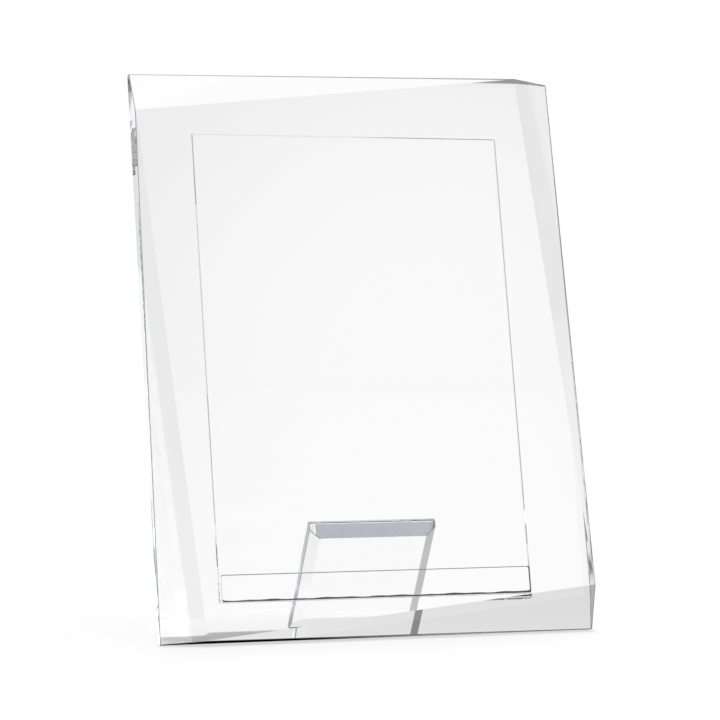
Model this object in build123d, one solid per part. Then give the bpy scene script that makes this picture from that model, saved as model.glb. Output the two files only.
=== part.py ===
from build123d import *
import os
from math import cos, radians, sin, tan

# A clear photo frame: a pinwheel-cut front block, a thin plate bonded behind it by a strip
# along the bottom, so that a print slides in from the top, and a bevelled easel leg.
# The pieces are modelled upright, with the block's back face on y = 0 and its lower edge
# on z = 0, then leaned back together until they stand on the ground plane.

# Front block, in millimetres
block_width = 180.0
block_height = 230.0
block_thickness = 10.0
corner_thickness = 2.5      # what the facets leave at the four corners
facet_offset = 17.0         # from each corner to the point where a ridge meets the edge
lean_angle = 13.0           # degrees back from upright
stand_flat = 1.0            # width of the level flat ground along the standing edge

# Print that the frame holds
print_width = 127.0
print_height = 178.0
print_side_margin = 1.5
print_top_margin = 1.3

# Strip that bonds the plate to the block, and sets the slot
slot_gap = 1.0
strip_height = 10.8
strip_corner_radius = 0.8
strip_side_inset = 0.5      # from the plate's side edges
strip_lower_inset = 0.1     # from the plate's lower edge

# Rear plate
plate_thickness = 2.0
plate_lower_edge = 15.5     # above the block's lower edge

# Easel leg, mitred to lie against the plate, bevelled on its other three front edges
leg_width = 53.0
leg_thickness = 6.0
leg_angle = 45.0            # degrees between the leg and the plate
leg_bond_height = 40.0      # the bonded mitre's lower edge, above the block's lower edge
leg_mitre_depth = 4.3       # how much of the leg's thickness the mitre takes
leg_bevel_width = 4.2
leg_bevel_depth = 2.5
foot_land = 1.6             # level strip at the heel that meets the ground

# Adhesive under the mitre, with a bead squeezed out above it
bond_film = 0.1
bond_bead = 0.8

# Polished arrises
arris_setback = 0.3
arris_least_turn = 50.0     # degrees; flatter edges, such as the facet ridges, stay crisp

# Sizes that follow from the ones above
plate_width = print_width + 2 * print_side_margin
plate_height = strip_lower_inset + strip_height + print_height + print_top_margin
plate_back = slot_gap + plate_thickness
lean = radians(lean_angle)
stand_cut = stand_flat / (1 / tan(lean) + tan(lean))


def split_off(piece, point, normal):
    """What is left of a piece on the inner side of a plane, whose normal points outwards."""
    return split(piece, bisect_by=Plane(point, z_dir=normal), keep=Keep.BOTTOM).solid()


def cut_facet(piece, first, second, third):
    """Cut a convex piece along the plane through three points, on the side away from its middle."""
    normal = (second - first).cross(third - first).normalized()
    if normal.dot(first - piece.center()) < 0:
        normal = -normal
    return split_off(piece, first, normal)


def polish_arrises(piece):
    """Take a narrow flat off each edge of a convex piece where it turns sharply."""
    meeting = {}
    for face in piece.faces():
        for edge in face.edges():
            middle = edge.position_at(0.5)
            key = (round(middle.X, 3), round(middle.Y, 3), round(middle.Z, 3))
            meeting.setdefault(key, []).append((middle, face.normal_at()))
    cuts = []
    for (middle, normal), (_, other_normal) in meeting.values():
        turn = normal.get_angle(other_normal)
        if turn > arris_least_turn:
            outward = (normal + other_normal).normalized()
            cuts.append((middle - outward * arris_setback * sin(radians(turn / 2)), outward))
    for point, outward in cuts:
        piece = split_off(piece, point, outward)
    return piece


def make_block():
    """Front block: a flat front turned like a pinwheel inside the outline, with four long facets."""
    half = block_width / 2
    front = -block_thickness
    corner_front = -corner_thickness
    block = Pos(0, front / 2, block_height / 2) * Box(block_width, block_thickness, block_height)
    ridge_points = [
        Vector(-half, front, block_height - facet_offset),
        Vector(half - facet_offset, front, block_height),
        Vector(half, front, facet_offset),
        Vector(-half + facet_offset, front, 0),
    ]
    corners = [
        Vector(-half, corner_front, block_height),
        Vector(half, corner_front, block_height),
        Vector(half, corner_front, 0),
        Vector(-half, corner_front, 0),
    ]
    block = block.solid()
    for index, corner in enumerate(corners):
        block = cut_facet(block, ridge_points[index], ridge_points[(index + 1) % 4], corner)
    return polish_arrises(block)


def make_plate():
    """Rear plate, behind the slot."""
    middle = Pos(0, slot_gap + plate_thickness / 2, plate_lower_edge + plate_height / 2)
    return polish_arrises((middle * Box(plate_width, plate_thickness, plate_height)).solid())


def make_strip():
    """Clear strip between block and plate, with rounded corners."""
    outline = RectangleRounded(plate_width - 2 * strip_side_inset, strip_height, strip_corner_radius)
    middle = Pos(0, slot_gap / 2, plate_lower_edge + strip_lower_inset + strip_height / 2)
    return (middle * Rot(90, 0, 0) * extrude(outline, amount=slot_gap / 2, both=True)).solid()


# Directions in the leg: down its front face, and through its thickness
leg_down = Vector(0, sin(radians(leg_angle)), -cos(radians(leg_angle)))
leg_through = Vector(0, cos(radians(leg_angle)), sin(radians(leg_angle)))
leg_start = Vector(0, plate_back + bond_film, leg_bond_height)
mitre_top = leg_start + Vector(0, 0, leg_mitre_depth / sin(radians(leg_angle)))


def ground_height(point):
    """Height of an upright point above the ground once the frame leans back."""
    return point.Z * cos(lean) - point.Y * sin(lean) - stand_cut


def extrude_profile(points):
    """A piece as wide as the leg, with its side profile through the given points."""
    profile = make_face(Polyline(*points, close=True))
    return extrude(profile, amount=leg_width / 2, dir=(1, 0, 0), both=True).solid()


def bevel_sides(piece):
    """Cut the bevels on the two long front edges of the leg."""
    for side in (-1, 1):
        edge_point = leg_start + Vector(side * (leg_width / 2 - leg_bevel_width), 0, 0)
        outward = Vector(side * leg_bevel_depth, 0, 0) - leg_through * leg_bevel_width
        piece = split_off(piece, edge_point, outward.normalized())
    return piece


def make_leg():
    """Easel leg: mitred and bonded at the top, bevelled at the sides and the foot."""
    heel_start = leg_start + leg_through * leg_thickness
    drop_per_length = cos(radians(leg_angle) - lean)
    heel = heel_start + leg_down * (ground_height(heel_start) / drop_per_length)
    past_ground = leg_down * leg_thickness
    top_end = mitre_top + leg_through * (leg_thickness - leg_mitre_depth)
    front_end = heel - leg_through * leg_thickness + past_ground
    leg = extrude_profile([leg_start, front_end, heel + past_ground, top_end, mitre_top])
    leg = bevel_sides(leg)
    toe = heel - Vector(0, cos(lean), sin(lean)) * foot_land
    foot_outward = leg_down * leg_bevel_depth - leg_through * leg_bevel_width
    leg = split_off(leg, toe, foot_outward.normalized())
    return polish_arrises(leg)


def make_adhesive():
    """Adhesive film under the leg's mitre, with the bead in the notch above it."""
    bead_tip = mitre_top + leg_through * bond_bead
    film_front = Vector(0, plate_back, leg_bond_height)
    bead_front = Vector(0, plate_back, bead_tip.Z)
    return bevel_sides(extrude_profile([film_front, leg_start, mitre_top, bead_tip, bead_front]))


def stand_up(piece):
    """Lean a piece back and trim what the ground takes off it."""
    leaned = Pos(0, 0, -stand_cut) * Rot(-lean_angle, 0, 0) * piece
    return split_off(leaned, (0, 0, 0), (0, 0, -1))


pieces = {
    "faceted_block": stand_up(make_block()),
    "rear_plate": stand_up(make_plate()),
    "bonding_strip": stand_up(make_strip()),
    "easel_leg": stand_up(make_leg()),
    "leg_adhesive": stand_up(make_adhesive()),
}

# The origin is on the ground, under the middle of the whole frame
footprint = Compound(list(pieces.values())).bounding_box()
to_origin = Pos(0, -footprint.center().Y, 0)

os.makedirs("parts", exist_ok=True)
for name, piece in pieces.items():
    export_step(to_origin * piece, f"parts/{name}.step")
print("footprint", footprint.min, footprint.max, "volume", sum(piece.volume for piece in pieces.values()))
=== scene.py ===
"""A clear photo frame: pinwheel-cut front block, bonded rear plate and bevelled easel leg."""
from math import cos, pi, radians, sin, sqrt, tan

import bmesh
import bpy
from mathutils import Matrix, Vector


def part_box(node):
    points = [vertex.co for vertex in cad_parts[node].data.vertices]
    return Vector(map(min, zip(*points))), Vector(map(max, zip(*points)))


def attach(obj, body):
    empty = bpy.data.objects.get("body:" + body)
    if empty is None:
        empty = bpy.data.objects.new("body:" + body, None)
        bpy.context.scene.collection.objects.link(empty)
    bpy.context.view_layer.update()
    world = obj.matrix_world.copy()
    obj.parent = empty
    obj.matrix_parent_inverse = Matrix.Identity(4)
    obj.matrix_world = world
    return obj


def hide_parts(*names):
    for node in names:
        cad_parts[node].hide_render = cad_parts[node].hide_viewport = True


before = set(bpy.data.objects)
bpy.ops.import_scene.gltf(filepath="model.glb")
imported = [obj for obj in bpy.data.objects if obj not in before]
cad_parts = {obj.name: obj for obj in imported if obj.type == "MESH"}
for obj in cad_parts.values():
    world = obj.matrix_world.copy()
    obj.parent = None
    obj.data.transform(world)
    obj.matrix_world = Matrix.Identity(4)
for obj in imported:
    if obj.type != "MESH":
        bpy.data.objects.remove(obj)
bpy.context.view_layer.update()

MM = 0.001

# Front block
block_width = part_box("faceted_block")[1].x * 2
block_height = 230 * MM
block_thickness = 10 * MM
corner_thickness = 2.5 * MM
facet_offset = 17 * MM
lean = radians(13)
stand_flat = 1 * MM
stand_cut = stand_flat / (1 / tan(lean) + tan(lean))

# Strip and rear plate
slot_gap = 1 * MM
strip_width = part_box("bonding_strip")[1].x * 2
strip_height = 10.8 * MM
strip_lower_inset = 0.1 * MM     # from the plate's lower edge
strip_corner_radius = 0.8 * MM
strip_side_slope = 0.3 * MM      # how far the strip's rim draws in from the block to the plate
strip_low_slope = 1 * MM
strip_top_slope = 0.25 * MM
strip_long_wave = 4.1 * MM       # one radian of each wave along the lower slope
strip_short_wave = 1.7 * MM
print_height = 178 * MM
print_top_margin = 1.3 * MM
plate_thickness = 2 * MM
plate_lower_edge = 15.5 * MM
plate_height = strip_lower_inset + strip_height + print_height + print_top_margin
plate_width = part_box("rear_plate")[1].x * 2
plate_back = slot_gap + plate_thickness
strip_lower_edge = plate_lower_edge + strip_lower_inset

# Easel leg and the adhesive under its mitre
leg_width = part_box("easel_leg")[1].x * 2
leg_thickness = 6 * MM
leg_angle = radians(45)
leg_bond_height = 40 * MM
leg_mitre_depth = 4.3 * MM
leg_bevel_width = 4.2 * MM
leg_bevel_depth = 2.5 * MM
foot_land = 1.6 * MM
bond_film = 0.1 * MM
bond_bead = 0.8 * MM
bead_lap = 0.3                   # how far the bead climbs the plate, as a share of its own size
bead_ragged_from = 0.1           # share of the leg's width, right of its middle
clear_band = 0.5 * MM            # along the film's top, where the adhesive is clear
clear_end = 2.6 * MM             # at the film's left end, where it is clear too

# Arrises and bonds
arris_width = 0.3 * MM
plate_arris_width = 0.05 * MM
arris_segments = 2
arris_least_turn = radians(50)   # flatter edges, such as the facet ridges, stay crisp
flat_turn = radians(0.5)         # faces that turn less than this are one face
bond_gap = 0.01 * MM             # keeps bonded faces from lying on each other

# Least part of a face's normal along an axis that tells which finish the face has
broad_tilt = 0.6
underside_tilt = 0.6
side_tilt = 0.3
leg_broad_tilt = 0.8
mitre_tilt = 0.99

# The pieces are made upright, with the block's back face on y = 0 and its lower edge on
# z = 0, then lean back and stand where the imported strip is
strip_top = strip_lower_edge + strip_height
shift_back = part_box("bonding_strip")[1].y - (slot_gap * cos(lean) + strip_top * sin(lean))
stand_up = Matrix.Translation((0, shift_back, -stand_cut)) @ Matrix.Rotation(-lean, 4, "X")


# Node helpers

def add_node(tree, kind, inputs=None, **settings):
    """Add a node, set its settings, and set or link its inputs."""
    node = tree.nodes.new(kind)
    for name, value in settings.items():
        setattr(node, name, value)
    for key, value in (inputs or {}).items():
        if isinstance(value, bpy.types.NodeSocket):
            tree.links.new(value, node.inputs[key])
        else:
            node.inputs[key].default_value = value
    return node


def math_node(tree, operation, first, second=0.0):
    """Add a math node and give its result."""
    return add_node(tree, "ShaderNodeMath", {0: first, 1: second}, operation=operation).outputs[0]


def ramp_node(tree, value, levels):
    """Brightness that follows a value, given as (value, level) stops."""
    lowest = levels[0][0]
    highest = levels[-1][0]
    share = add_node(tree, "ShaderNodeMapRange", {
        "Value": value, "From Min": lowest, "From Max": highest})
    ramp = add_node(tree, "ShaderNodeValToRGB", {0: share.outputs[0]})
    stops = ramp.color_ramp.elements
    while len(stops) < len(levels):
        stops.new(1.0)
    for stop, (place, level) in zip(stops, levels):
        stop.position = (place - lowest) / (highest - lowest)
        stop.color = (level, level, level, 1)
    return ramp.outputs["Color"]


def mirrored_inside(tree, light):
    """Whether a path of light has been mirrored on its way."""
    return math_node(tree, "GREATER_THAN", light["Glossy Depth"], 0.5)


# Materials

acrylic_refraction = 1.49
wipe_size = 40 * MM              # how wide the patches of haze are
wipe_range = (0.5, 0.8)          # what part of the noise makes haze


def new_material(name):
    """An empty node material with its output node."""
    material = bpy.data.materials.new(name)
    material.use_nodes = True
    tree = material.node_tree
    tree.nodes.clear()
    return material, tree, add_node(tree, "ShaderNodeOutputMaterial")


def clear_material(name, tint, ripple_size, ripple_depth, haze, grain=0.0, clarity=1.0, shine=0.5):
    """Clear stock with fine ripples and uneven haze.

    Grain is the least roughness, clarity the share of light that passes through, and shine
    how strongly the surface mirrors.
    """
    material, tree, output = new_material(name)
    place = add_node(tree, "ShaderNodeTexCoord").outputs["Object"]
    ripple = add_node(tree, "ShaderNodeTexNoise", {
        "Vector": place, "Scale": 1 / ripple_size, "Detail": 2.0})
    bump = add_node(tree, "ShaderNodeBump", {
        "Height": ripple.outputs["Fac"], "Distance": ripple_depth})
    wipe = add_node(tree, "ShaderNodeTexNoise", {
        "Vector": place, "Scale": 1 / wipe_size, "Detail": 4.0})
    rough = add_node(tree, "ShaderNodeMapRange", {
        "Value": wipe.outputs["Fac"], "From Min": wipe_range[0], "From Max": wipe_range[1],
        "To Min": grain, "To Max": grain + haze})
    shader = add_node(tree, "ShaderNodeBsdfPrincipled", {
        "Base Color": tint, "Transmission Weight": clarity, "IOR": acrylic_refraction,
        "Specular IOR Level": shine, "Roughness": rough.outputs[0], "Normal": bump.outputs[0]})
    tree.links.new(shader.outputs[0], output.inputs["Surface"])
    return material


def shaded_standing_material(name, levels):
    """Ground, dull standing edge, darkened at its left by painted shade that clears along x, given as (x,
    share) stops.
    """
    material = clear_material(name, (1, 1, 1, 1), 1 * MM, 0.02 * MM, haze=0.2, grain=0.3, shine=0.0)
    tree = material.node_tree
    place = add_node(tree, "ShaderNodeTexCoord").outputs["Object"]
    across = add_node(tree, "ShaderNodeSeparateXYZ", {0: place}).outputs["X"]
    share = ramp_node(tree, across, levels)
    shader = tree.nodes["Principled BSDF"]
    tree.links.new(share, shader.inputs["Base Color"])
    tree.links.new(share, shader.inputs["Transmission Weight"])
    return material


def bond_material(name, tint):
    """A bonded face, which light crosses without bending."""
    material, tree, output = new_material(name)
    through = add_node(tree, "ShaderNodeBsdfTransparent", {"Color": tint})
    tree.links.new(through.outputs[0], output.inputs["Surface"])
    return material


face_finish = clear_material("polished_face", (1, 1, 1, 1), 30 * MM, 0.002 * MM, haze=0.004)
side_finish = clear_material("polished_side", (0.90, 0.96, 0.96, 1), 1.5 * MM, 0.004 * MM, haze=0.02)
# The arrises have a teal tint and are darkened further by painted shade, for the dark lines along the edges
tinted_shaded_arris_finish = clear_material("polished_arris_tint_and_painted_shade", (0.30, 0.40, 0.43, 1), 1 * MM, 0.01 * MM,
                              haze=0.1, grain=0.1, clarity=0.7)
# Near-black, dull arris for the block's right front: painted shade
shaded_arris_finish = clear_material("arris_with_painted_shade", (0.008, 0.011, 0.012, 1), 1 * MM, 0.02 * MM,
                               haze=0.2, grain=0.3, clarity=0.03, shine=0.1)
# The standing edge carries painted shade: near black at its left, clearing towards the right
shaded_standing_finish = shaded_standing_material("standing_edge_painted_shade", ((-30 * MM, 0.003), (50 * MM, 0.95)))
plate_edge_finish = clear_material("plate_edge", (0.94, 0.985, 0.99, 1), 1.5 * MM, 0.002 * MM, haze=0.01)
sanded_finish = clear_material("sanded_side", (0.75, 0.86, 0.87, 1), 1 * MM, 0.02 * MM,
                               haze=0.2, grain=0.25)
# The strip's rim is darkened by painted shade
shaded_rim_finish = clear_material("strip_rim_painted_shade", (0.10, 0.14, 0.15, 1), 2 * MM, 0.02 * MM,
                            haze=0.1, grain=0.2, clarity=0.15, shine=0.2)
glue_finish = clear_material("cured_adhesive", (0.95, 0.97, 0.96, 1), 2 * MM, 0.02 * MM, haze=0.01)
bond_finish = bond_material("bonded_face", (1, 1, 1, 1))
# The film under the mitre is tinted grey-violet as painted shade
shaded_film_finish = bond_material("adhesive_film_painted_shade", (0.685, 0.695, 0.745, 1))

# Places of the finishes on each piece
FACE, EDGE, BOND, ARRIS, PAINTED_SHADE_ARRIS, BASE = range(6)


# Mesh helpers

def dress(mesh, face=face_finish, edge=side_finish, bond=bond_finish, arris=tinted_shaded_arris_finish):
    """Give a mesh its finishes: broad faces, edges, bonds, arrises, a near-black arris of painted shade and
    the standing edge, which has painted shade at its left.
    """
    mesh.materials.clear()
    for finish in (face, edge, bond, arris, shaded_arris_finish, shaded_standing_finish):
        mesh.materials.append(finish)


def new_piece(name, **finishes):
    """An empty piece with its finishes."""
    piece = bpy.data.objects.new(name, bpy.data.meshes.new(name))
    bpy.context.scene.collection.objects.link(piece)
    dress(piece.data, **finishes)
    return piece


def round_arrises(piece, width=arris_width):
    """Round the sharp edges with a bevel and make the result a plain mesh."""
    bevel = piece.modifiers.new("arris", "BEVEL")
    bevel.width = width
    bevel.segments = arris_segments
    bevel.limit_method = "ANGLE"
    bevel.angle_limit = arris_least_turn
    bevel.material = ARRIS
    bake_modifiers(piece)


def bake_modifiers(piece):
    """Turn a piece's modifiers into plain mesh."""
    graph = bpy.context.evaluated_depsgraph_get()
    baked = bpy.data.meshes.new_from_object(piece.evaluated_get(graph))
    piece.modifiers.clear()
    piece.data = baked


def cut_away(bm, point, outward):
    """Cut off what lies outside a plane, and close the cut."""
    everything = bm.verts[:] + bm.edges[:] + bm.faces[:]
    bmesh.ops.bisect_plane(bm, geom=everything, plane_co=point, plane_no=outward, clear_outer=True)
    bmesh.ops.holes_fill(bm, edges=[edge for edge in bm.edges if edge.is_boundary])


def prism(bm, profile, width):
    """A piece of that width, with its side profile through the given (y, z) points."""
    near = [bm.verts.new((-width / 2, y, z)) for y, z in profile]
    far = [bm.verts.new((width / 2, y, z)) for y, z in profile]
    bm.faces.new(near)
    bm.faces.new(far[::-1])
    for index in range(len(profile)):
        following = (index + 1) % len(profile)
        bm.faces.new((near[index], far[index], far[following], near[following]))
    bmesh.ops.recalc_face_normals(bm, faces=bm.faces[:])


def imprint(bm, y_place, outline):
    """Mark a bonded patch, given as (x, z) points, on the flat face at a y."""
    flat = [face for face in bm.faces
            if all(abs(vert.co.y - y_place) < bond_gap / 2 for vert in face.verts)]
    target = max(flat, key=lambda face: face.calc_area())
    facing = target.normal.copy()
    rim = target.edges[:]
    bmesh.ops.delete(bm, geom=[target], context="FACES_ONLY")
    ring = [bm.verts.new((x, y_place, z)) for x, z in outline]
    loop = [bm.edges.new((ring[i - 1], ring[i])) for i in range(len(ring))]
    around = bmesh.ops.triangle_fill(bm, use_beauty=True, edges=rim + loop, normal=facing)["geom"]
    patch = bm.faces.new(ring)
    for face in [item for item in around if isinstance(item, bmesh.types.BMFace)] + [patch]:
        face.normal_update()
        if face.normal.dot(facing) < 0:
            face.normal_flip()
    patch.material_index = BOND


def mark_edges(bm):
    """Give broad faces and narrow side faces their finishes, and leave bonds and arrises."""
    for face in bm.faces:
        if face.material_index not in (BOND, ARRIS):
            face.material_index = FACE if abs(face.normal.y) > broad_tilt else EDGE


def edit(mesh, work):
    """Run an edit on a mesh."""
    bm = bmesh.new()
    bm.from_mesh(mesh)
    bm.normal_update()
    work(bm)
    bm.to_mesh(mesh)
    bm.free()


def stand_on_ground(piece, body, slot, *nodes):
    """Lean a piece back into place and put it in the frame."""
    piece.data.transform(stand_up)
    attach(piece, body)
    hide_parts(*nodes)


# Front block

def pinwheel_tree():
    """Block from a rule: a quarter turn leads from each corner and ridge point to the next."""
    tree = bpy.data.node_groups.new("pinwheel_block", "GeometryNodeTree")
    sizes = ("Width", "Height", "Thickness", "Corner Thickness", "Facet Offset", "Stand Front",
             "Stand Back")
    for size in sizes:
        tree.interface.new_socket(size, in_out="INPUT", socket_type="NodeSocketFloat")
    tree.interface.new_socket("Finish", in_out="INPUT", socket_type="NodeSocketMaterial")
    tree.interface.new_socket("Block", in_out="OUTPUT", socket_type="NodeSocketGeometry")
    given = add_node(tree, "NodeGroupInput").outputs
    index = add_node(tree, "GeometryNodeInputIndex").outputs[0]

    def calc(operation, first, second=0.0):
        return math_node(tree, operation, first, second)

    turn = calc("MULTIPLY", index, pi / 2)
    corner_turn = calc("SUBTRACT", 3 * pi / 4, turn)
    side = calc("MULTIPLY", calc("COSINE", corner_turn), 1 / sqrt(2))
    rise = calc("ADD", calc("MULTIPLY", calc("SINE", corner_turn), 1 / sqrt(2)), 0.5)
    low = calc("SUBTRACT", 1.0, rise)
    corner_x = calc("MULTIPLY", side, given["Width"])
    corner_z = calc("MULTIPLY", rise, given["Height"])
    step_x = calc("MULTIPLY", calc("SINE", turn), given["Facet Offset"])
    step_z = calc("MULTIPLY", calc("COSINE", turn), given["Facet Offset"])

    def ring(x, y, z):
        place = add_node(tree, "ShaderNodeCombineXYZ", {0: x, 1: y, 2: z}).outputs[0]
        return add_node(tree, "GeometryNodePoints", {"Count": 4, "Position": place}).outputs[0]

    def ahead(distance):
        return calc("MULTIPLY", distance, -1.0)

    ridge_x = calc("SUBTRACT", corner_x, step_x)
    ridge_z = calc("SUBTRACT", corner_z, step_z)
    ridge = ring(ridge_x, ahead(given["Thickness"]), ridge_z)
    corner = ring(corner_x, ahead(given["Corner Thickness"]), corner_z)
    back = ring(corner_x, 0.0, calc("ADD", corner_z, calc("MULTIPLY", low, given["Stand Back"])))
    stand = ring(corner_x, ahead(calc("MULTIPLY", low, given["Stand Front"])), corner_z)
    points = add_node(tree, "GeometryNodeJoinGeometry")
    for rim in (ridge, corner, back, stand):
        tree.links.new(rim, points.inputs[0])
    hull = add_node(tree, "GeometryNodeConvexHull", {0: points.outputs[0]}).outputs[0]
    solid = add_node(tree, "GeometryNodeRealizeInstances", {0: hull}).outputs[0]
    finished = add_node(tree, "GeometryNodeSetMaterial", {"Geometry": solid, "Material": given["Finish"]})
    add_node(tree, "NodeGroupOutput", {0: finished.outputs[0]})
    return tree


def make_block():
    """Front block with rounded arrises, clear at its rear sides, and the strip's patch on its back."""
    block = new_piece("faceted_block_clear")
    nodes = block.modifiers.new("pinwheel", "NODES")
    nodes.node_group = pinwheel_tree()
    values = {
        "Width": block_width, "Height": block_height, "Thickness": block_thickness,
        "Corner Thickness": corner_thickness, "Facet Offset": facet_offset,
        "Stand Front": stand_cut / sin(lean), "Stand Back": stand_cut / cos(lean), "Finish": face_finish}
    for socket in nodes.node_group.interface.items_tree:
        if socket.in_out == "INPUT":
            nodes[socket.identifier] = values[socket.name]
    bake_modifiers(block)
    edit(block.data, lambda bm: bmesh.ops.dissolve_limit(
        bm, angle_limit=flat_turn, verts=bm.verts[:], edges=bm.edges[:]))
    dress(block.data)
    round_arrises(block)

    def mark(bm):
        imprint(bm, 0.0, strip_outline())
        mark_edges(bm)
        for face in bm.faces:
            # The underside takes the standing edge with its painted shade
            if face.normal.z < -underside_tilt:
                face.material_index = BASE
            elif face.material_index == ARRIS and abs(face.normal.x) > side_tilt:
                at_rear = face.calc_center_median().y > -arris_width
                if at_rear:
                    face.material_index = EDGE
                # Front arrises on the right take the near-black painted shade
                elif face.normal.x > 0:
                    face.material_index = PAINTED_SHADE_ARRIS

    edit(block.data, mark)
    stand_on_ground(block, "root", "clear_block", "faceted_block")


# Strip

def strip_wave(x):
    """How unevenly the strip's lower rim draws in along its length, as a share."""
    return 0.8 + 0.1 * sin(x / strip_long_wave) + 0.1 * sin(x / strip_short_wave + 2)


def strip_outline(side_inset=0.0, low_inset=0.0, top_inset=0.0, corner_steps=6, low_steps=60):
    """Rounded outline of the strip, as (x, z) points, or one drawn in from it."""
    half = strip_width / 2 - strip_corner_radius - side_inset
    low = strip_lower_edge + strip_corner_radius
    high = strip_top - strip_corner_radius - top_inset
    points = []
    for quarter, (x, z) in enumerate(((half, high), (-half, high), (-half, low), (half, low))):
        for step in range(corner_steps + 1):
            angle = (quarter + step / corner_steps) * pi / 2
            across = strip_corner_radius * cos(angle)
            upward = strip_corner_radius * sin(angle)
            points.append((x + across, z + upward))
        if quarter == 2:
            along = [half * (2 * step / low_steps - 1) for step in range(1, low_steps)]
            points += [(x, strip_lower_edge) for x in along]
    return [(x, z + low_inset * strip_wave(x)) if z < low else (x, z) for x, z in points]


def strip_rear_outline():
    """Outline of the strip on the plate, drawn in where its rim slopes."""
    return strip_outline(strip_side_slope, strip_low_slope, strip_top_slope)


def make_strip():
    """Clear strip between block and plate, with a sloping rim darkened by painted shade."""
    strip = new_piece("bonding_strip_clear", face=glue_finish, edge=shaded_rim_finish)

    def build(bm):
        front = [bm.verts.new((x, bond_gap, z)) for x, z in strip_outline()]
        rear = [bm.verts.new((x, slot_gap - bond_gap, z)) for x, z in strip_rear_outline()]
        bonded = [bm.faces.new(front), bm.faces.new(rear[::-1])]
        for index in range(len(front)):
            rim = bm.faces.new((front[index - 1], front[index], rear[index], rear[index - 1]))
            rim.material_index = EDGE
        for face in bonded:
            face.material_index = BOND
        bmesh.ops.recalc_face_normals(bm, faces=bm.faces[:])

    edit(strip.data, build)
    stand_on_ground(strip, "root", "clear_bond", "bonding_strip")


# Rear plate

def make_plate():
    """Thin plate with the strip's patch on its front and the leg's on its back."""
    plate = new_piece("rear_plate_clear", edge=plate_edge_finish, arris=plate_edge_finish)
    top = plate_lower_edge + plate_height
    profile = [(slot_gap, plate_lower_edge), (plate_back, plate_lower_edge),
               (plate_back, top), (slot_gap, top)]
    edit(plate.data, lambda bm: prism(bm, profile, plate_width))
    round_arrises(plate, plate_arris_width)

    def mark(bm):
        imprint(bm, slot_gap, strip_rear_outline())
        imprint(bm, plate_back, bond_outline())
        mark_edges(bm)

    edit(plate.data, mark)
    stand_on_ground(plate, "root", "clear_sheet", "rear_plate")


# Easel leg and its adhesive

leg_down = Vector((0, sin(leg_angle), -cos(leg_angle)))
leg_through = Vector((0, cos(leg_angle), sin(leg_angle)))
leg_start = Vector((0, plate_back + bond_film, leg_bond_height))
mitre_rise = leg_mitre_depth / sin(leg_angle)
mitre_top = leg_start + Vector((0, 0, mitre_rise))
bead_rise = bond_bead * sin(leg_angle)


def bevel_x(height):
    """Half width of the leg's mitre at a height above its lower edge, between the side bevels."""
    depth = height * sin(leg_angle)
    inner = leg_width / 2 - leg_bevel_width
    return min(leg_width / 2, inner + depth * leg_bevel_width / leg_bevel_depth)


def bond_outline():
    """Outline of the adhesive on the plate, as (x, z) points."""
    shoulder = leg_bevel_depth / sin(leg_angle)
    heights = (0, shoulder, mitre_rise + bead_rise)
    right = [(bevel_x(height), leg_bond_height + height) for height in heights]
    return right + [(-x, z) for x, z in reversed(right)]


def ground_height(point):
    """Height of an upright point above the ground once the frame leans back."""
    return point.z * cos(lean) - point.y * sin(lean) - stand_cut


def make_leg():
    """Easel leg: mitred at the top, bevelled at the sides and the foot, level at the heel."""
    leg = new_piece("easel_leg_clear", edge=sanded_finish)
    heel_start = leg_start + leg_through * leg_thickness
    heel = heel_start + leg_down * (ground_height(heel_start) / cos(leg_angle - lean))
    past_ground = leg_down * leg_thickness
    top_end = mitre_top + leg_through * (leg_thickness - leg_mitre_depth)
    front_end = heel - leg_through * leg_thickness + past_ground
    level = Vector((0, cos(lean), sin(lean)))
    up = Vector((0, -sin(lean), cos(lean)))

    def build(bm):
        corners = (leg_start, front_end, heel + past_ground, top_end, mitre_top)
        prism(bm, [(corner.y, corner.z) for corner in corners], leg_width)
        for side in (-1, 1):
            edge_point = leg_start + Vector((side * (leg_width / 2 - leg_bevel_width), 0, 0))
            sideways = Vector((side * leg_bevel_depth, 0, 0))
            cut_away(bm, edge_point, sideways - leg_through * leg_bevel_width)
        toe = heel - level * foot_land
        cut_away(bm, toe, leg_down * leg_bevel_depth - leg_through * leg_bevel_width)
        cut_away(bm, heel, -up)

    edit(leg.data, build)
    round_arrises(leg)

    def mark(bm):
        for face in bm.faces:
            broad = abs(face.normal.dot(leg_through)) > leg_broad_tilt
            if face.normal.y < -mitre_tilt:
                face.material_index = BOND
            elif face.material_index != ARRIS:
                face.material_index = FACE if broad else EDGE

    edit(leg.data, mark)
    stand_on_ground(leg, "root", "clear_sheet", "easel_leg")


def bead_wave(x):
    """How far the squeezed-out bead swells along the joint, as a share; it is ragged at the right."""
    along = x / leg_width
    ragged = max(0.0, along - bead_ragged_from) / (0.5 - bead_ragged_from)
    return 0.6 + 0.08 * sin(19 * along + 1) + 0.32 * ragged * sin(61 * along)


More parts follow.
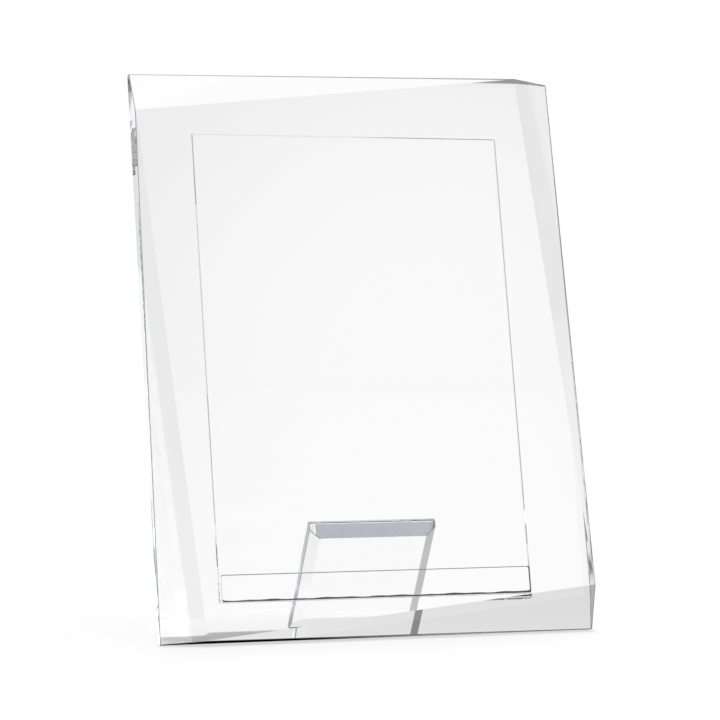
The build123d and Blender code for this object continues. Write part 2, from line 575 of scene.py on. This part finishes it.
def make_adhesive(stations=60):
    """Film under the mitre, tinted grey-violet as painted shade except at its top and left end, with the
    uneven bead above it.
    """
    glue = new_piece("leg_adhesive_clear", face=glue_finish, edge=bond_finish, bond=shaded_film_finish)
    front = plate_back + bond_gap
    rear = plate_back + bond_film - bond_gap

    def build(bm):
        rows = []
        for station in range(stations + 1):
            x = leg_width * (station / stations - 0.5)
            cut_back = (abs(x) - bevel_x(0)) * leg_bevel_depth / leg_bevel_width
            lowest = leg_bond_height + max(0.0, cut_back / sin(leg_angle))
            swell = bond_bead * bead_wave(x)
            tip = mitre_top + leg_through * swell
            film_top = mitre_top.z - clear_band * bead_wave(x)
            profile = (
                (front, lowest), (rear, lowest), (rear, film_top), (rear, mitre_top.z),
                (tip.y, tip.z), (front, tip.z + bead_lap * swell), (front, film_top))
            rows.append([bm.verts.new((x, y, z)) for y, z in profile])
        for first, second in zip(rows, rows[1:]):
            # The film's faces take the painted shade, except at the film's left end, which stays clear
            film = EDGE if first[0].co.x < clear_end - leg_width / 2 else BOND
            for index, finish in enumerate((FACE, film, EDGE, FACE, FACE, EDGE, film)):
                following = (index + 1) % len(first)
                face = bm.faces.new((first[index], first[following], second[following], second[index]))
                face.material_index = finish
        bm.faces.new(rows[0])
        bm.faces.new(rows[-1])
        bmesh.ops.recalc_face_normals(bm, faces=bm.faces[:])

    edit(glue.data, build)
    stand_on_ground(glue, "root", "clear_bond", "leg_adhesive")


make_block()
make_strip()
make_plate()
make_leg()
make_adhesive()


# Studio

# The eye sees a floor that adds light of its own to what falls on it, so the shadow stays faint.
# Through the frame, the floor near it is lit by the lamps. Farther away it glows by itself and
# turns clear at low angles, where the studio behind it shows. Far off, all of it fades out.
# Distances are in metres from the frame
floor_drop = 0.2 * MM            # keeps the floor from lying on the standing edge
floor_colour = 0.8
floor_seen_light = 0.65
floor_seen_colour = 0.285
floor_glow = 1.0
floor_glow_start = 0.07
floor_glow_full = 0.11
floor_refraction = 1.5           # sets how clear the glowing floor turns at low angles
floor_fade_start = 1
floor_fade_end = 4

# Light that the frame has mirrored inside itself meets bright and dim ovals on the floor, given
# as (distance, level) stops, so that the frame's edges stand out
floor_rings = (
    (0, 0.75), (0.11, 0.75), (0.125, 0.6), (0.135, 0.3), (0.15, 0.2), (0.163, 0.2), (0.178, 0.5),
    (0.2, 0.8), (0.235, 0.8), (0.25, 0.27), (0.32, 0.27), (0.34, 1.4), (0.39, 1.4), (0.405, 0.48),
    (0.455, 0.48), (0.475, 0.27), (0.52, 0.27), (0.55, 0.45), (2.0, 0.45))
rings_shape = (1, 0.5, 0)         # makes the ovals twice as deep as they are wide
rings_middle = (0.03, -0.025, 0)  # after that scaling


def make_floor():
    """White floor that keeps the frame's shadow; its far part glows where it shows through the frame."""
    mesh = bpy.data.meshes.new("floor")
    reach = floor_fade_end
    corners = ((-reach, -reach), (reach, -reach), (reach, reach), (-reach, reach))
    mesh.from_pydata([(x, y, -floor_drop) for x, y in corners], [], [(0, 1, 2, 3)])
    floor = bpy.data.objects.new("floor", mesh)
    bpy.context.scene.collection.objects.link(floor)
    material, tree, output = new_material("white_floor")
    light = add_node(tree, "ShaderNodeLightPath").outputs
    place = add_node(tree, "ShaderNodeTexCoord").outputs["Object"]
    away = add_node(tree, "ShaderNodeVectorMath", {0: place}, operation="LENGTH").outputs["Value"]
    seen = light["Is Camera Ray"]

    def past(start, end):
        return add_node(tree, "ShaderNodeMapRange", {
            "Value": away, "From Min": start, "From Max": end},
            interpolation_type="SMOOTHSTEP").outputs[0]

    distant = past(floor_glow_start, floor_glow_full)
    far = math_node(tree, "MULTIPLY", light["Is Transmission Ray"], distant)
    colour = add_node(tree, "ShaderNodeMapRange", {
        "Value": seen, "To Min": floor_colour, "To Max": floor_seen_colour}).outputs[0]
    near_colour = math_node(tree, "MULTIPLY", colour, math_node(tree, "SUBTRACT", 1.0, far))
    matte = add_node(tree, "ShaderNodeBsdfDiffuse", {"Color": near_colour})
    own_light = math_node(tree, "ADD", math_node(tree, "MULTIPLY", seen, floor_seen_light),
                          math_node(tree, "MULTIPLY", far, floor_glow))
    glow = add_node(tree, "ShaderNodeEmission", {"Strength": own_light})
    lit = add_node(tree, "ShaderNodeAddShader", {0: matte.outputs[0], 1: glow.outputs[0]})
    fresnel = add_node(tree, "ShaderNodeFresnel", {"IOR": floor_refraction}).outputs[0]
    clearing = math_node(tree, "MULTIPLY", fresnel, far)
    gone = past(floor_fade_start, floor_fade_end)
    clear = add_node(tree, "ShaderNodeBsdfTransparent")
    straight = add_node(tree, "ShaderNodeMixShader", {
        0: math_node(tree, "MAXIMUM", clearing, gone), 1: lit.outputs[0], 2: clear.outputs[0]})
    oval = add_node(tree, "ShaderNodeVectorMath", {0: place, 1: rings_shape}, operation="MULTIPLY")
    ring = add_node(tree, "ShaderNodeVectorMath", {0: oval.outputs[0], 1: rings_middle}, operation="DISTANCE")
    ring_level = ramp_node(tree, ring.outputs["Value"], floor_rings)
    rings = add_node(tree, "ShaderNodeEmission", {"Strength": ring_level})
    surface = add_node(tree, "ShaderNodeMixShader", {
        0: mirrored_inside(tree, light), 1: straight.outputs[0], 2: rings.outputs[0]})
    tree.links.new(surface.outputs[0], output.inputs["Surface"])
    mesh.materials.append(material)


# The backdrop glows behind the frame. Its level follows the angle from the middle of the
# glow, and is dimmed by a share at each elevation. Headings run from straight behind the frame
# towards the right, in degrees like the elevations
glow_place = (19.3, -1)
glow_levels = ((0, 0.945), (2, 0.945), (4, 0.92), (7, 0.845), (9, 0.83), (13.5, 0.81), (21, 0.21),
               (30, 0.2), (38, 0.5), (60, 0.5), (180, 0.35))
backdrop_shares = ((-10, 1.0), (4.8, 1.0), (6.1, 0.90), (8, 0.84), (11, 0.55), (14, 0.4), (20, 0.3),
                   (35, 0.15), (90, 0.1))

# Below the horizon the studio has one level for straight light and a dimmer one for mirrored light
below_level = 0.9
below_mirrored = 0.2
below_start = -9
below_full = -14

# Soft lights, hidden from the eye: heading, elevation, tilt, half width and half height, all in
# degrees, and level
soft_lights = {
    "front card": (138, 25, 0, 34, 20, 1.0),
    "front softbox": (124, 18, 0, 8.5, 5, 5),
    "low softbox": (110, 11, 0, 5.5, 6.5, 1.25),
    "side softbox": (90, 18, 15.15, 19.5, 13, 2.05),
    "back softbox": (18, 22, 0, 8, 5, 0.78),
    "top softbox": (135, 72, 0, 15, 15, 1.4),
}
soft_rim = 0.15                  # half the width of the fade at a light's rim, in degrees

# Lamps: heading, elevation and width in degrees, and strength
lamps = {
    "overhead lamp": (-25, 85.1, 1, 1.8),
    "back lamp": (18, 70, 25, 1.2),
}


def direction(heading, elevation):
    """The way to a place in the studio."""
    level = cos(radians(elevation))
    turn = radians(heading)
    return Vector((sin(turn) * level, cos(turn) * level, sin(radians(elevation))))


def make_world():
    """White to the eye; in the frame, a backdrop with a glow behind it and soft lights around it."""
    world = bpy.data.worlds.new("studio")
    bpy.context.scene.world = world
    world.use_nodes = True
    tree = world.node_tree
    tree.nodes.clear()
    output = add_node(tree, "ShaderNodeOutputWorld")
    way = add_node(tree, "ShaderNodeTexCoord").outputs["Generated"]
    height = add_node(tree, "ShaderNodeSeparateXYZ", {0: way}).outputs["Z"]

    def along(axis, ray=way):
        product = add_node(tree, "ShaderNodeVectorMath", {0: ray, 1: axis}, operation="DOT_PRODUCT")
        return product.outputs["Value"]

    def fade(value, start, end, start_level, end_level):
        return add_node(tree, "ShaderNodeMapRange", {
            "Value": value, "From Min": start, "From Max": end,
            "To Min": start_level, "To Max": end_level},
            interpolation_type="SMOOTHSTEP").outputs[0]

    def within(axis, reach):
        off = math_node(tree, "ABSOLUTE", along(axis))
        return fade(off, sin(radians(reach + soft_rim)), sin(radians(reach - soft_rim)), 0.0, 1.0)

    def soft_light(heading, elevation, tilt, half_width, half_height, level):
        inside = math_node(tree, "GREATER_THAN", along(direction(heading, elevation)), 0.0)
        for mask in (within(direction(heading + 90, tilt), half_width),
                     within(direction(heading, elevation + 90), half_height)):
            inside = math_node(tree, "MULTIPLY", inside, mask)
        return math_node(tree, "MULTIPLY", inside, level)

    # Ways below the glow count as level with it
    lowest = (-1, -1, direction(*glow_place).z)
    raised = add_node(tree, "ShaderNodeVectorMath", {0: way, 1: lowest}, operation="MAXIMUM").outputs[0]
    level_way = add_node(tree, "ShaderNodeVectorMath", {0: raised}, operation="NORMALIZE").outputs[0]
    off_glow = math_node(tree, "ARCCOSINE", along(direction(*glow_place), level_way))
    glow = ramp_node(tree, math_node(tree, "DEGREES", off_glow), glow_levels)
    elevation = math_node(tree, "DEGREES", math_node(tree, "ARCSINE", height))
    level = math_node(tree, "MULTIPLY", glow, ramp_node(tree, elevation, backdrop_shares))
    light = add_node(tree, "ShaderNodeLightPath").outputs
    below = fade(mirrored_inside(tree, light), 0.0, 1.0, below_level, below_mirrored)
    share_below = fade(elevation, below_full, below_start, 1.0, 0.0)
    above = math_node(tree, "MULTIPLY", level, math_node(tree, "SUBTRACT", 1.0, share_below))
    level = math_node(tree, "ADD", above, math_node(tree, "MULTIPLY", below, share_below))
    for soft in soft_lights.values():
        level = math_node(tree, "MAXIMUM", level, soft_light(*soft))
    camera_ray = light["Is Camera Ray"]
    seen = math_node(tree, "MULTIPLY", level, math_node(tree, "SUBTRACT", 1.0, camera_ray))
    strength = math_node(tree, "MAXIMUM", seen, camera_ray)
    sky = add_node(tree, "ShaderNodeBackground", {"Color": (1, 1, 1, 1), "Strength": strength})
    tree.links.new(sky.outputs[0], output.inputs["Surface"])


def make_lamp(name, heading, elevation, width, strength):
    """Lamp that gives the frame a shadow on the floor and no hot spots."""
    lamp = bpy.data.lights.new(name, "SUN")
    lamp.energy = strength
    lamp.angle = radians(width)
    light = bpy.data.objects.new(name, lamp)
    bpy.context.scene.collection.objects.link(light)
    light.rotation_euler = direction(heading, elevation).to_track_quat("Z", "Y").to_euler()
    light.visible_glossy = False
    light.visible_transmission = False


# Camera: lens and sensor in millimetres, place in metres, angles in degrees
lens_length = 140
sensor_width = 36
camera_place = (-0.3484, -1.0724, 0.1280)
camera_dip = 0.94
camera_heading = 17.93


def make_camera():
    """Camera to the left of the frame, just above the middle of its height."""
    lens = bpy.data.cameras.new("camera")
    lens.sensor_width = sensor_width
    lens.lens = lens_length
    camera = bpy.data.objects.new("camera", lens)
    bpy.context.scene.collection.objects.link(camera)
    camera.location = camera_place
    camera.rotation_euler = (radians(90 - camera_dip), 0, radians(-camera_heading))
    bpy.context.scene.camera = camera


# Light runs far along the plate, from face to face, before it leaves by an edge
most_bounces = 160
clear_bounces = 128

make_floor()
make_world()
for name, settings in lamps.items():
    make_lamp(name, *settings)
make_camera()
scene = bpy.context.scene
scene.view_settings.view_transform = "Standard"
scene.cycles.max_bounces = most_bounces
scene.cycles.glossy_bounces = clear_bounces
scene.cycles.transmission_bounces = clear_bounces
scene.cycles.transparent_max_bounces = clear_bounces
